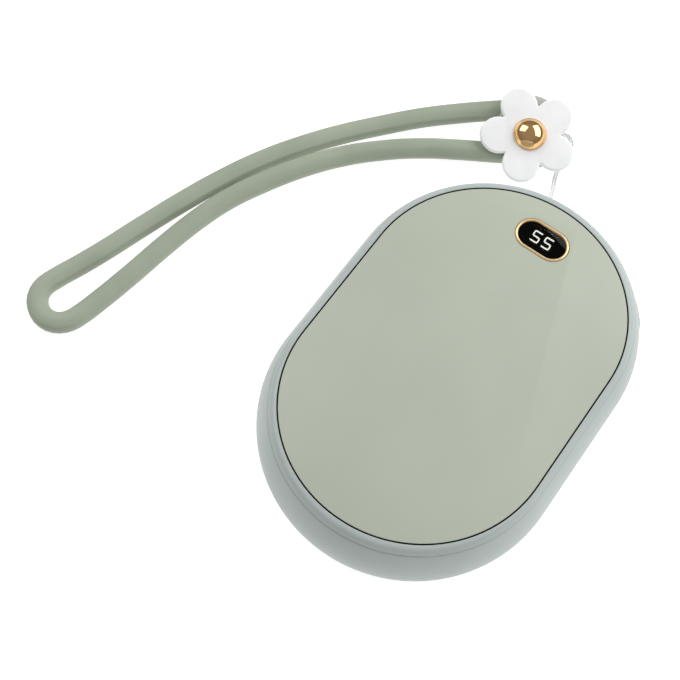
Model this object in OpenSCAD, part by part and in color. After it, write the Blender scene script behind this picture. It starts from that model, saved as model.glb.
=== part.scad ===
/* [Housing] */
// Length of the housing, end to end
body_l = 99; // [98:1:115]
// Width of the housing at its widest
body_w = 68; // [67:1:74]
// Thickness of the housing, face to face
body_t = 20; // [19.5:0.5:22.5]
// Radius of the bulge of the side wall, in section
bulge_r = 16; // [14:0.5:22]
// Thickness of the side wall
wall_t = 2; // [1.6:0.1:2.4]
// Height of the band that each cover shows beside the parting line
cover_band_h = 1.5; // [1.3:0.1:2.2]
// Thickness of each cover's floor
cover_floor_t = 1.4; // [1:0.1:1.8]

/* [Heated plates] */
// Thickness of each aluminium plate
plate_t = 1; // [0.8:0.1:1.4]
// Gap between a plate and the rim round it
plate_gap = 0.35; // [0.2:0.05:0.5]
// Flat land at the top of the rim, beside the gap
rim_land = 0.35; // [0.2:0.05:0.6]
// How much wider the rim is at the two ends
end_rim_extra = 0.8; // [0:0.1:1.5]
// Width of the ledge that carries a plate's edge
ledge_w = 2.8; // [2:0.1:3.6]
// Thickness of each heating film
film_t = 0.25; // [0.2:0.05:0.35]
// Thickness of the foam sheet behind each film
foam_t = 0.55; // [0.45:0.05:0.8]

/* [Display] */
// Length of the gold display rim, across the housing
display_l = 13; // [11.8:0.1:14]
// Height of the gold display rim, along the housing
display_h = 7.9; // [7.3:0.1:9]
// Width of the gold ring, seen from the front
bezel_w = 0.6; // [0.4:0.05:0.8]
// Height of the gold ring above the plate
bezel_proud = 0.2; // [0.1:0.05:0.4]
// Distance from the housing's end to the display's centre
display_inset = 14.1; // [13:0.1:16]
// Thickness of the lens
lens_t = 0.6; // [0.4:0.1:1.2]
// Height of a digit
digit_h = 3; // [2.6:0.1:3.4]
// Width of a digit
digit_w = 2.1; // [1.8:0.1:2.4]
// Width of a lit stroke
stroke_w = 0.35; // [0.25:0.05:0.5]
// Distance between the digits' centres
digit_pitch = 2.95; // [2.8:0.05:3.4]

/* [Power button] */
// Angle of the button round the housing's end, from the X axis
button_angle = 39; // [35:1:50]
// Length of the button along the rim
button_l = 8; // [7:0.5:11]
// Height of the button across the rim
button_h = 5.4; // [4.6:0.2:6]
// How far the button stands proud of the side wall
button_proud = 0.4; // [0.3:0.05:0.6]
// Travel of the button
button_travel = 0.4; // [0.2:0.05:0.5]
// Play between the button and its hole
button_gap = 0.25; // [0.15:0.05:0.4]

/* [Charging port] */
// Distance of the port from the housing's centre line
port_x = 5.4; // [5:0.2:8]
// Width of the port's metal shell
port_w = 8.94; // [8.8:0.02:9.2]
// Height of the port's metal shell
port_h = 3.26; // [3.1:0.02:3.4]
// Wall of the port's metal shell
port_wall = 0.3; // [0.25:0.05:0.4]
// Length of the port's metal shell
port_l = 7.35; // [6.5:0.05:8.5]

/* [Battery and board] */
// Thickness of the foam pad behind the pouch cell
rear_pad_t = 0.8; // [0.6:0.1:1.2]
// Thickness of the foam pad in front of the pouch cell
front_pad_t = 1.8; // [1.2:0.1:2.4]
// Room round the pouch cell in its tray
cell_gap = 0.3; // [0.2:0.05:0.6]
// Distance of the main board's straight edge from the centre of the end round
board_start = 6.4; // [6:0.2:7.4]
// Thickness of the main board
board_t = 1.2; // [1:0.1:1.6]

/* [Lanyard] */
// Angle of the lanyard eye round the housing's end, from the Y axis
eye_angle = 9; // [9:0.5:14]
// Width of the lanyard eye
eye_w = 5.6; // [5:0.2:6]
// Height of the lanyard eye
eye_h = 3.2; // [2.6:0.2:4]
// Diameter of the bar moulded across the eye
bar_d = 2; // [1.6:0.1:2.2]
// Diameter of the lanyard thread
thread_d = 0.55; // [0.4:0.05:0.6]

/* [Wrist strap] */
// Width of the silicone strand
strap_w = 5; // [4.4:0.1:5.3]
// Height of the silicone strand
strap_h = 3.4; // [2.8:0.1:3.6]
// Length of the strap's pad, in line with the strands
pad_l = 16; // [15:0.5:18]
// Width of the strap's pad, across the strands
pad_w = 18.2; // [17.4:0.2:21]
// Thickness of the strap's pad
pad_t = 3; // [2.8:0.1:3.5]

/* [Flower charm] */
// Distance from the flower's centre to the centre of a petal
petal_reach = 7.5; // [7:0.1:8]
// Diameter of a petal
petal_d = 9.4; // [9.2:0.1:10.2]
// Thickness of the flower
flower_t = 1.2; // [0.8:0.1:1.8]
// Diameter of the rivet's gold dome
dome_d = 8.1; // [6.5:0.1:9]
// Height of the rivet's gold dome
dome_h = 2.7; // [2:0.1:3.6]
// Diameter of the rivet's stem
stem_d = 3; // [2.4:0.1:3.6]

/* [Hidden] */
$fn = 96;

// How far a cutting solid runs past the face that it cuts
overrun = 1;
// Clearance of hard pieces that drop into each other
fit_gap = 0.15;
// Clearance of a piece that moves, or of a soft one, over its neighbour
soft_gap = 0.3;

// The housing is a stadium in plan: two half rounds joined by straight sides
mid_z = body_t / 2;
body_r = body_w / 2;
end_a = (body_l - body_w) / 2;
// Radius of the side wall at a height, or of its inner face
function side_r(z, inset = 0) = body_r - bulge_r + sqrt(pow(bulge_r - inset, 2) - pow(z - mid_z, 2));

// Stack behind each plate: plate, film, foam, cover floor
recess_r = side_r(body_t) - rim_land;
plate_r = recess_r - plate_gap;
plate_a = end_a - end_rim_extra;
film_recess_r = recess_r - ledge_w;
film_r = film_recess_r - soft_gap;
floor_out = plate_t + film_t + foam_t;
floor_in = floor_out + cover_floor_t;
lip_r = side_r(cover_band_h, wall_t) - fit_gap;

// Display, from the lens down to the board
display_y = body_l / 2 - display_inset;
lens_l = display_l - 2 * bezel_w;
lens_h = display_h - 2 * bezel_w;
lens_gap = 0.05;
lens_sink = 0.1;
lens_z = body_t - lens_sink - lens_t;
bezel_ledge = 0.5;
module_l = 7;
module_h = 4.6;
digit_t = 0.12;
digit_gap = 0.15;
module_top = lens_z - digit_gap - digit_t;
stroke_gap = 0.05;

// Charging port, and the board above it
port_z = mid_z;
port_recess = 1.2;
port_gap = 0.25;
port_front_y = end_a + sqrt(pow(body_r, 2) - pow(port_x, 2)) - port_recess;
port_back_t = 0.4;
tongue_w = 6.7;
tongue_t = 0.7;
tongue_set = 0.6;
board_z = port_z + port_h / 2;
board_top = board_z + board_t;
board_gap = 0.6;
tab_x = port_x + port_w / 2;
tab_y = end_a + sqrt(pow(side_r(board_top, wall_t), 2) - pow(tab_x, 2)) - board_gap;

// Lanyard eye: a pocket in the end wall with an upright bar across it
turn_gap = 0.1;
turn_r = bar_d / 2 + thread_d / 2 + turn_gap;
bar_depth = 2.4;
bar_rho = body_r - bar_depth;
eye_back_gap = 0.6;
eye_rho = bar_rho - turn_r - thread_d / 2 - eye_back_gap;
eye_wall = 1.4;
board_r = eye_rho - eye_wall - board_gap;

// Power button with its flange, and the switch behind it
flange_t = 1;
flange_rim = 1.1;
flange_gap = 0.4;
flange_l = button_l + 2 * flange_rim;
flange_h = button_h + 2 * flange_rim;
flange_rho = sqrt(pow(side_r(mid_z + flange_h / 2, wall_t), 2) - pow(flange_l / 2, 2)) - flange_gap;
pusher_d = 3;
pusher_l = 0.8;
pusher_rho = flange_rho - flange_t - pusher_l;
plunger_d = 1.8;
plunger_out = 1.2;
plunger_in = 1;
plunger_gap = 0.1;
plunger_rho = pusher_rho - plunger_gap;
switch_l = 6;
switch_h = 3.2;
switch_w = 3.6;
switch_rho = plunger_rho - plunger_out;

// Case posts and screws, beside the cell
post_r = 2.5;
post_edge = 1.5;
post_x = lip_r - post_edge - post_r;
post_inset = 1.5;
post_y = end_a - post_inset;
post_split_z = 8;
screw_d = 2;
screw_l = 10;
screw_play = 0.15;
screw_bite_gap = 0.05;
head_d = 3.4;
head_h = 1.1;
screw_seat_z = floor_out + head_h + screw_play;
pilot_extra = 0.6;

// Battery tray, pads and cell: the cell fills the room between the posts, the board and the covers
tray_t = 1;
tray_wall = 1.2;
tray_wall_h = 5;
tray_r = lip_r - soft_gap;
tray_z = floor_in;
box_half = post_x - post_r - soft_gap;
box_y0 = fit_gap - end_a - sqrt(pow(tray_r, 2) - pow(box_half, 2));
box_board_gap = 1.8;
box_y1 = end_a + board_start - box_board_gap;
cell_w = 2 * (box_half - tray_wall - cell_gap);
cell_y0 = box_y0 + tray_wall + cell_gap;
cell_y1 = box_y1 - tray_wall - cell_gap;
cell_l = cell_y1 - cell_y0;
cell_flange_l = 3;
cell_flange_t = 0.6;
cell_z = tray_z + tray_t + rear_pad_t;
cell_t = body_t - floor_in - front_pad_t - cell_z;
cell_corner_share = 0.4;
cell_corner = cell_corner_share * cell_t;
pad_inset = 5;
guard_l = 30;
guard_w = 2.4;
guard_t = 0.8;
guard_z = cell_z + (cell_t + cell_flange_t) / 2;
guard_chip = [4, 1.6, 0.9];
guard_chip_shares = [-0.3, -0.1];

// Board bosses, as shares of the board's radius from the centre of the end round
boss_shares = [[-0.74, 0.36], [0.83, 0.345], [-0.46, 0.75]];
boss_d = 4.4;
board_screw_d = 1.4;
board_screw_l = 4.5;
board_head_d = 2.8;
board_head_h = 0.9;

// Parts on the board: place shares as for the bosses, then length, width and height
chip_size = [5, 5, 1];
chip_shares = [[-0.27, 0.52, 0.9, 0.9, 1], [0.6, 0.67, 0.6, 0.5, 0.8], [0.02, 0.4, 0.8, 0.5, 0.9]];
inductor_d = 4.6;
inductor_h = 2.6;
inductor_shares = [-0.62, 0.62];
capacitor_size = [2, 1.25, 1.2];
capacitor_shares = [[-0.16, 0.36], [-0.26, 0.36], [0.36, 0.66], [0.24, 0.86], [0.72, 0.56]];

// Battery connector on the board, and the leads
lead_d = 0.9;
lead_pitch = 2.2;
lead_bend = 1.6;
slot_l = 5.6;
slot_w = 2.4;
heater_lead_share = 0.46;
heater_lead_x = heater_lead_share * board_r;
slot_y = end_a + board_start + slot_w;
header_size = [7, 4.6, 3.6];
header_wall = 0.8;
header_x_share = 0.4;
header_x = header_x_share * board_r;
header_y = end_a + board_start + header_wall;
plug_out = 1;
thermistor_size = [2, 1.2, 0.35];
thermistor_y_share = 0.3;
// Bends of the leads, as shares of their reach and rise
heater_lead_shares = [[0, 0], [0, 0.36], [0.2, 0.5], [0.5, 0.62], [0.8, 0.74], [1, 0.86], [1, 1]];
battery_lead_shares = [[0, 0], [0, 0.2], [0.06, 0.5], [0.22, 0.82], [0.45, 0.98], [0.7, 1], [1, 1]];

// The lanyard lies on the surface that the housing stands on; places are taken from its end
strap_angle = 35.4;
// The pad leans on one long edge, its other edge held up by the stiff strands
pad_roll = 16;
pad_lift = pad_w / 2 * sin(pad_roll);
pad_place = [-21, 19.1];
pad_corner_share = 0.485;
pad_corner = pad_corner_share * pad_l;
pad_z = 0.5;
// Place of the rivet, from the pad's centre
charm_place = [-0.5, -1.6];
back_d = 6.4;
dome_lip = 0.3;
dome_gap = 0.1;
// Radius of the dome's crown, over its lip
cap_h = dome_h - dome_lip;
cap_r = (pow(dome_d / 2, 2) + pow(cap_h, 2)) / (2 * cap_h);
web_share = 0.955;
flower_z = pad_z + pad_t + soft_gap;
dome_z = flower_z + flower_t + dome_gap;
// Underside of the silicone loop, from the pad and back to it, and the roll of the strand
strap_route = [
    [-27.8, 21.1, 4.1, -16], [-30, 19.6, 3.6, -16], [-37.8, 13.8, 1.9, -8], [-45.2, 7.3, 0.7, -2],
    [-52.2, -0.5, 0.2, 0], [-58.7, -8.5, 0, 0], [-64.7, -17.3, 0, 0], [-70, -26.6, 0, 0],
    [-74.5, -36.7, 0, 0], [-78.3, -47.2, 0, 0], [-81.8, -58.3, 0, 0], [-85.1, -69.3, 0, 0],
    [-87, -74.9, 0, 0], [-89.2, -80.9, 0, 0], [-90, -84.1, 0, 0], [-89.4, -86.9, 0, 0],
    [-87.4, -89.1, 0, 0], [-84.5, -90.1, 0, 0], [-81.6, -89.4, 0, 0], [-79.6, -87.3, 0, 0],
    [-78.6, -84.5, 0, 0], [-77.4, -78.9, 0, 0], [-75.8, -69.5, 0, 0], [-74.4, -59.7, 0, 0],
    [-72.6, -49.7, 0, 0], [-69.9, -40.1, 0.4, 7], [-66, -31.3, 0.6, 12], [-61.1, -22.4, 0.8, 17],
    [-55.1, -13.9, 1, 23], [-48.1, -6.4, 1.2, 28], [-40.5, 0.1, 1.2, 28], [-32.2, 5.6, 1.2, 22],
    [-23.9, 10.6, 1.2, 16], [-21.2, 12.3, 1.2, 16]];
// Section of the strand, as shares of its width and height
strap_section_shares = [[-0.42, 0], [0.42, 0], [0.5, 0.16], [0.5, 0.52], [0.41, 0.8], [0, 1],
    [-0.41, 0.8], [-0.5, 0.52], [-0.5, 0.16]];
// Line between the two runs of the thread, from the pad to the eye, and half their distance apart
thread_route = [
    [-15.3, 21.1, 4.3, 0.3], [-14, 22.5, 4.4, 0.3], [-12.9, 23.4, 4.2, 0.3], [-11.7, 23.4, 3.8, 0.3],
    [-10.5, 22.4, 3.2, 0.3], [-9.8, 21, 2.5, 0.3], [-9.6, 19.1, 1.8, 0.3], [-9.8, 17, 1.2, 0.3],
    [-9.7, 15.2, 0.7, 0.3], [-9.1, 13.2, 0.5, 0.3], [-8.3, 11.2, 0.7, 0.3], [-7.6, 9.2, 1.5, 0.3],
    [-7, 7.2, 3, 0.3], [-6.5, 5.4, 5, 0.35], [-6.1, 3.7, 7.2, 0.45], [-5.7, 2, 9, 0.7],
    [-5.4, 0.2, 9.9, 1.1], [-5.2, -1.2, 10, 1.35]];
thread_sides = 8;
turn_angles = [90:36:270];
lead_sides = 8;

// Colours
rim_colour = "#BDC7C6";
plate_colour = "#B7BFAE";
gold_colour = "#D8A55A";
strap_colour = "#A2AC99";
board_colour = "#2F6B45";
dark_colour = "#26282A";
steel_colour = "#B8BCC0";
red_colour = "#C9302C";

// Outline of a stadium with ends of radius r and straight sides of half length a, along Y
module stadium(r, a) {
    square([2 * r, 2 * a], center = true);
    for (s = [-1, 1]) translate([0, s * a]) circle(r);
}

module stadium_plate(r, a, z0, z1) {
    translate([0, 0, z0]) linear_extrude(z1 - z0) stadium(r, a);
}

// Outline with two round ends, its long side along X
module slot_outline(l, h) {
    square([l - h, h], center = true);
    for (s = [-1, 1]) translate([s * (l - h) / 2, 0]) circle(h / 2);
}

module rounded_outline(l, w, r) {
    square([l - 2 * r, w], center = true);
    square([l, w - 2 * r], center = true);
    for (sx = [-1, 1], sy = [-1, 1]) translate([sx * (l / 2 - r), sy * (w / 2 - r)]) circle(r);
}

module along_x(x0, x1) {
    translate([x0, 0, 0]) rotate([90, 0, 90]) linear_extrude(x1 - x0) children();
}

module along_y(y0, y1) {
    translate([0, y0, 0]) rotate([-90, 0, 0]) linear_extrude(y1 - y0) children();
}

// Solid with the housing's bulged side, grown or shrunk, between two heights
module bulged(grow, z0, z1) {
    module side() {
        intersection() {
            translate([0, z0]) square([body_r + overrun, z1 - z0]);
            union() {
                translate([0, z0]) square([body_r - bulge_r, z1 - z0]);
                translate([body_r - bulge_r, mid_z]) circle(bulge_r + grow);
            }
        }
    }
    for (m = [0, 1]) mirror([0, m, 0]) translate([0, end_a, 0]) rotate_extrude(angle = 180) side();
    translate([0, end_a, 0]) rotate([90, 0, 0]) linear_extrude(2 * end_a) {
        side();
        mirror([1, 0]) side();
    }
}

// Frames at the centre of the end round, with X pointing out through the button or the eye
module at_button() { translate([0, end_a, mid_z]) rotate([0, 0, button_angle]) children(); }
module at_eye() { translate([0, end_a, mid_z]) rotate([0, 0, 90 + eye_angle]) children(); }
module at_end() { translate([0, body_l / 2, 0]) children(); }
module at_front() { translate([0, 0, body_t]) mirror([0, 0, 1]) children(); }
module at_board(share) { translate([share[0] * board_r, end_a + share[1] * board_r, 0]) children(); }
module at_posts() { for (sx = [-1, 1], sy = [-1, 1]) translate([sx * post_x, sy * post_y, 0]) children(); }

// Sweep of an outline along a route, kept upright, or with its side turned to one direction or to one a point
function unit(v) = v / norm(v);
function heading(p, i) = unit(p[min(i + 1, len(p) - 1)] - p[max(i - 1, 0)]);
function side_of(p, i) = unit(cross([0, 0, 1], heading(p, i)));
function ring_of(p, i, outline, side) =
    let(s = is_undef(side) ? side_of(p, i) : is_list(side[0]) ? side[i] : side, u = cross(heading(p, i), s))
    [for (o = outline) p[i] + o[0] * s + o[1] * u];
function round_outline(d, n) = [for (k = [0:n - 1]) d / 2 * [cos(360 * k / n), sin(360 * k / n)]];
module sweep(route, outline, side = undef) {
    n = len(outline);
    last = len(route) - 1;
    points = [for (i = [0:last], q = ring_of(route, i, outline, side)) q];
    faces = concat(
        [for (k = [1:n - 2]) [0, k, k + 1]],
        [for (k = [1:n - 2]) [last * n, last * n + k + 1, last * n + k]],
        [for (i = [0:last - 1], k = [0:n - 1]) let(j = (k + 1) % n) [i * n + k, (i + 1) * n + k, i * n + j]],
        [for (i = [0:last - 1], k = [0:n - 1]) let(j = (k + 1) % n)
            [i * n + j, (i + 1) * n + k, (i + 1) * n + j]]);
    polyhedron(points, faces);
}

// Cover with its visible band, its lip and floor, drawn as it lies at the rear
module cover_blank() {
    difference() {
        union() {
            bulged(0, 0, cover_band_h);
            stadium_plate(lip_r, end_a, cover_band_h, floor_in);
        }
        stadium_plate(recess_r, plate_a, -overrun, plate_t);
        stadium_plate(film_recess_r, plate_a, -overrun, floor_out);
        lead_slot(floor_in + overrun);
    }
}

module lead_slot(z1) {
    translate([heater_lead_x, slot_y, 0]) linear_extrude(z1) slot_outline(slot_l, slot_w);
}

module front_cover() color(rim_colour) difference() {
    union() {
        at_front() mirror([1, 0, 0]) cover_blank();
        at_posts() translate([0, 0, post_split_z + fit_gap])
            cylinder(r = post_r, h = body_t - floor_out - post_split_z - fit_gap);
    }
    translate([0, display_y, body_t - floor_in - overrun]) linear_extrude(cover_floor_t + 2 * overrun)
        square([module_l + 2 * soft_gap, module_h + 2 * soft_gap], center = true);
    at_posts() translate([0, 0, post_split_z - overrun])
        cylinder(d = screw_d + 2 * screw_bite_gap,
            h = screw_seat_z + screw_l + pilot_extra - post_split_z + overrun);
}

module rear_cover() color(rim_colour) difference() {
    union() {
        cover_blank();
        at_posts() translate([0, 0, floor_out]) cylinder(r = post_r, h = post_split_z - floor_out);
    }
    at_posts() translate([0, 0, plate_t]) {
        cylinder(d = head_d + 2 * screw_play, h = screw_seat_z - plate_t);
        cylinder(d = screw_d + 2 * screw_play, h = post_split_z);
    }
}

module middle_frame() color(rim_colour) difference() {
    union() {
        difference() {
            bulged(0, cover_band_h, body_t - cover_band_h);
            bulged(-wall_t, cover_band_h - overrun, body_t - cover_band_h + overrun);
        }
        intersection() {
            bulged(-wall_t / 2, cover_band_h, body_t - cover_band_h);
            at_eye() along_x(eye_rho - eye_wall, body_r)
                square([eye_w + 2 * eye_wall, eye_h + 2 * eye_wall], center = true);
        }
    }
    at_eye() difference() {
        along_x(eye_rho, body_r + overrun) slot_outline(eye_w, eye_h);
        translate([bar_rho, 0, -eye_h]) cylinder(d = bar_d, h = 2 * eye_h);
    }
    translate([port_x, 0, port_z]) along_y(port_front_y - port_l / 2, body_l / 2 + overrun)
        slot_outline(port_w + 2 * port_gap, port_h + 2 * port_gap);
    at_button() along_x(flange_rho, body_r + overrun)
        slot_outline(button_l + 2 * button_gap, button_h + 2 * button_gap);
}

module plate_blank() { stadium_plate(plate_r, plate_a, 0, plate_t); }

module bezel_hole(play) {
    translate([0, display_y, 0]) linear_extrude(body_t)
        slot_outline(display_l + 2 * play, display_h + 2 * play);
}

module front_plate() color(plate_colour) difference() {
    at_front() plate_blank();
    bezel_hole(lens_gap);
}

module rear_plate() color(plate_colour) plate_blank();

module film_blank() { stadium_plate(film_r, plate_a, plate_t, plate_t + film_t); }

module front_heating_film() color("#C78A34") difference() {
    at_front() film_blank();
    bezel_hole(soft_gap);
}

module rear_heating_film() color("#C78A34") film_blank();

module foam_blank() {
    difference() {
        stadium_plate(film_r, plate_a, plate_t + film_t, floor_out);
        lead_slot(floor_out + overrun);
        translate([0, thermistor_y_share * plate_r, 0]) linear_extrude(floor_out + overrun)
            square([thermistor_size[0] + 2 * soft_gap, thermistor_size[1] + 2 * soft_gap], center = true);
    }
}

module front_foam_sheet() color("#6E7276") difference() {
    at_front() mirror([1, 0, 0]) foam_blank();
    bezel_hole(soft_gap);
}

module rear_foam_sheet() color("#6E7276") foam_blank();

module thermistor_blank() {
    translate([0, thermistor_y_share * plate_r, plate_t + film_t + thermistor_size[2] / 2])
        cube(thermistor_size, center = true);
}

module front_thermistor() color(dark_colour) at_front() thermistor_blank();
module rear_thermistor() color(dark_colour) thermistor_blank();

// Pair of leads from a film to the board's nearer face, through the slot in the cover's floor
module heater_leads(x, z0, z1) {
    for (s = [-1, 1]) translate([x + s * lead_pitch / 2, slot_y, z0])
        sweep([for (p = heater_lead_shares) [0, p[0] * lead_bend, p[1] * (z1 - z0)]],
            round_outline(lead_d, lead_sides), [1, 0, 0]);
}

module front_heater_leads() color(red_colour)
    heater_leads(-heater_lead_x, body_t - plate_t - film_t, board_top);
module rear_heater_leads() color(red_colour) heater_leads(heater_lead_x, plate_t + film_t, board_z);

// Tray: floor with the cell's box and the board's bosses, notched round the case posts
module battery_tray() color("#3A3D40") difference() {
    union() {
        translate([0, 0, tray_z]) linear_extrude(tray_t) difference() {
            stadium(tray_r, end_a);
            for (mx = [0, 1], my = [0, 1]) mirror([mx, 0]) mirror([0, my]) translate([post_x, post_y]) {
                circle(post_r + fit_gap);
                translate([0, -post_r - fit_gap]) square([post_r + overrun, 2 * (post_r + fit_gap)]);
            }
        }
        translate([0, 0, tray_z]) linear_extrude(tray_t + tray_wall_h) difference() {
            translate([-box_half, box_y0]) square([2 * box_half, box_y1 - box_y0]);
            translate([tray_wall - box_half, box_y0 + tray_wall])
                square([2 * (box_half - tray_wall), box_y1 - box_y0 - 2 * tray_wall]);
        }
        for (b = boss_shares) at_board(b) translate([0, 0, tray_z]) cylinder(d = boss_d, h = board_z - tray_z);
    }
    lead_slot(tray_z + tray_t + overrun);
    for (b = boss_shares) at_board(b) translate([0, 0, board_top - board_screw_l - pilot_extra])
        cylinder(d = board_screw_d + 2 * screw_bite_gap, h = board_screw_l + pilot_extra);
}

module battery_cell() color("#A9B4C0") {
    translate([0, 0, cell_z + cell_t / 2]) {
        along_y(cell_y0, cell_y1 - cell_flange_l) rounded_outline(cell_w, cell_t, cell_corner);
        along_y(cell_y1 - cell_flange_l - overrun, cell_y1) square([cell_w, cell_flange_t], center = true);
    }
}

module battery_foam_pads() color("#55595D")
    for (z = [[cell_z - rear_pad_t, cell_z], [cell_z + cell_t, body_t - floor_in]])
        translate([pad_inset - cell_w / 2, cell_y0 + pad_inset, z[0]])
            cube([cell_w - 2 * pad_inset, cell_l - cell_flange_l - 2 * pad_inset, z[1] - z[0]]);

module battery_guard_board() color(board_colour)
    translate([0, cell_y1 - cell_flange_l / 2, guard_z]) {
        translate([0, 0, guard_t / 2]) cube([guard_l, guard_w, guard_t], center = true);
        for (s = guard_chip_shares) translate([s * guard_l, 0, guard_t + guard_chip[2] / 2])
            cube(guard_chip, center = true);
    }

// Lead from the guard board up over the tray's wall and into the plug
module battery_lead(x) {
    y0 = cell_y1 - cell_flange_l / 2;
    z0 = guard_z + guard_t;
    translate([x, y0, z0])
        sweep([for (p = battery_lead_shares)
            [0, p[0] * (header_y - plug_out - y0), p[1] * (board_top + header_size[2] / 2 - z0)]],
            round_outline(lead_d, lead_sides), [1, 0, 0]);
}

module battery_lead_red() color(red_colour) battery_lead(header_x - lead_pitch / 2);
module battery_lead_black() color(dark_colour) battery_lead(header_x + lead_pitch / 2);

// Header on the board, and the plug in it
module battery_connector() color("#EDE9DC") {
    inner = header_size - 2 * [header_wall, 0, header_wall];
    translate([header_x, header_y, board_top + header_size[2] / 2]) {
        difference() {
            translate([0, header_size[1] / 2, 0]) cube(header_size, center = true);
            along_y(-overrun, header_size[1] - header_wall) square([inner[0], inner[2]], center = true);
        }
        along_y(-plug_out, header_size[1] - header_wall - fit_gap)
            square([inner[0] - 2 * fit_gap, inner[2] - 2 * fit_gap], center = true);
    }
}

module main_board() color(board_colour) translate([0, 0, board_z]) linear_extrude(board_t) difference() {
    union() {
        intersection() {
            translate([0, end_a]) circle(board_r);
            translate([-board_r, end_a + board_start]) square([2 * board_r, board_r]);
        }
        translate([port_x - port_w / 2, end_a + board_start]) square([port_w, tab_y - end_a - board_start]);
    }
    for (b = boss_shares) at_board(b) circle(d = board_screw_d + 2 * screw_play);
}

module on_board(share, size) {
    at_board(share) translate([0, 0, board_top + size[2] / 2]) cube(size, center = true);
}

module board_chips() color(dark_colour)
    for (c = chip_shares) on_board(c, [c[2] * chip_size[0], c[3] * chip_size[1], c[4] * chip_size[2]]);

module board_inductor() color("#4A4D50")
    at_board(inductor_shares) translate([0, 0, board_top]) cylinder(d = inductor_d, h = inductor_h);

module board_capacitors() color("#B79A6B") for (c = capacitor_shares) on_board(c, capacitor_size);

// Display: light module on the board, lit digits, lens, and the gold ring that holds the lens
module led_module() color(dark_colour) translate([0, display_y, (board_top + module_top) / 2])
    cube([module_l, module_h, module_top - board_top], center = true);

module stroke(l) {
    polygon([[-l / 2, 0], [(stroke_w - l) / 2, -stroke_w / 2], [(l - stroke_w) / 2, -stroke_w / 2],
        [l / 2, 0], [(l - stroke_w) / 2, stroke_w / 2], [(stroke_w - l) / 2, stroke_w / 2]]);
}

module digit_five() {
    w = digit_w - stroke_w;
    h = digit_h - stroke_w;
    for (y = [-h / 2, 0, h / 2]) translate([0, y]) stroke(w - 2 * stroke_gap);
    for (s = [-1, 1]) translate([s * w / 2, -s * h / 4]) rotate(90) stroke(h / 2 - 2 * stroke_gap);
}

module display_digits() color("#F4F6F4") for (s = [-1, 1])
    translate([s * digit_pitch / 2, display_y, module_top]) linear_extrude(digit_t) digit_five();

module display_bezel() color(gold_colour) translate([0, display_y, body_t - floor_out]) difference() {
    linear_extrude(floor_out + bezel_proud) slot_outline(display_l, display_h);
    translate([0, 0, -overrun]) linear_extrude(body_t)
        slot_outline(lens_l - 2 * bezel_ledge, lens_h - 2 * bezel_ledge);
    translate([0, 0, lens_z - body_t + floor_out]) linear_extrude(body_t) slot_outline(lens_l, lens_h);
}

module display_lens() color("#15181A") translate([0, display_y, lens_z])
    linear_extrude(lens_t) slot_outline(lens_l - 2 * lens_gap, lens_h - 2 * lens_gap);

module port_shell() color(steel_colour) translate([port_x, 0, port_z]) difference() {
    along_y(port_front_y - port_l, port_front_y) slot_outline(port_w, port_h);
    along_y(port_front_y - port_l + port_back_t, port_front_y + overrun)
        slot_outline(port_w - 2 * port_wall, port_h - 2 * port_wall);
}

module port_tongue() color(dark_colour) translate([port_x, 0, port_z])
    along_y(port_front_y - port_l + port_back_t, port_front_y - tongue_set)
        square([tongue_w, tongue_t], center = true);

// Tact switch under the board, its plunger, and the button that presses it
module switch_body() color(dark_colour) at_button() difference() {
    translate([0, 0, board_z - switch_h / 2 - mid_z])
        along_x(switch_rho - switch_w, switch_rho) square([switch_l, switch_h], center = true);
    along_x(switch_rho - plunger_in - button_travel - soft_gap, switch_rho + overrun)
        circle(d = plunger_d + 2 * plunger_gap);
}

module switch_plunger() color("#DADDDD") at_button()
    along_x(switch_rho - plunger_in, plunger_rho) circle(d = plunger_d);

module power_button() color(rim_colour) {
    intersection() {
        at_button() along_x(flange_rho - flange_t / 2, body_r + overrun) slot_outline(button_l, button_h);
        bulged(button_proud, cover_band_h, body_t - cover_band_h);
    }
    at_button() {
        along_x(flange_rho - flange_t, flange_rho) slot_outline(flange_l, flange_h);
        along_x(pusher_rho, flange_rho - flange_t / 2) circle(d = pusher_d);
    }
}

module case_screws() color(steel_colour) at_posts() {
    translate([0, 0, screw_seat_z - head_h]) cylinder(d = head_d, h = head_h);
    translate([0, 0, screw_seat_z - head_h / 2]) cylinder(d = screw_d, h = screw_l + head_h / 2);
}

module board_screws() color(steel_colour) for (b = boss_shares) at_board(b) {
    translate([0, 0, board_top]) cylinder(d = board_head_d, h = board_head_h);
    translate([0, 0, board_top - board_screw_l])
        cylinder(d = board_screw_d, h = board_screw_l + board_head_h / 2);
}

// Doubled thread: out along one side of its route, round the bar, and back along the other
module lanyard_thread() color("#CFD2CE") at_end() {
    out = [for (p = thread_route) [p[0], p[1], p[2]]];
    run = [for (s = [1, -1]) [for (i = [0:len(out) - 1]) out[i] + s * thread_route[i][3] * side_of(out, i)]];
    away = [-sin(eye_angle), cos(eye_angle), 0];
    across = [cos(eye_angle), sin(eye_angle), 0];
    bar = bar_rho * away + [0, end_a - body_l / 2, mid_z];
    turn = [for (a = turn_angles) bar + turn_r * (cos(a) * away + sin(a) * across)];
    back = [for (i = [1:len(out)]) run[1][len(out) - i]];
    sweep(concat(run[0], turn, back), round_outline(thread_d, thread_sides));
}

module strap_loop() color(strap_colour) at_end() {
    run = [for (p = strap_route) [p[0], p[1], p[2]]];
    sides = [for (i = [0:len(run) - 1]) let(roll = strap_route[i][3])
        cos(roll) * side_of(run, i) + [0, 0, sin(roll)]];
    sweep(run, [for (o = strap_section_shares) [o[0] * strap_w, o[1] * strap_h]], sides);
}

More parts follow.
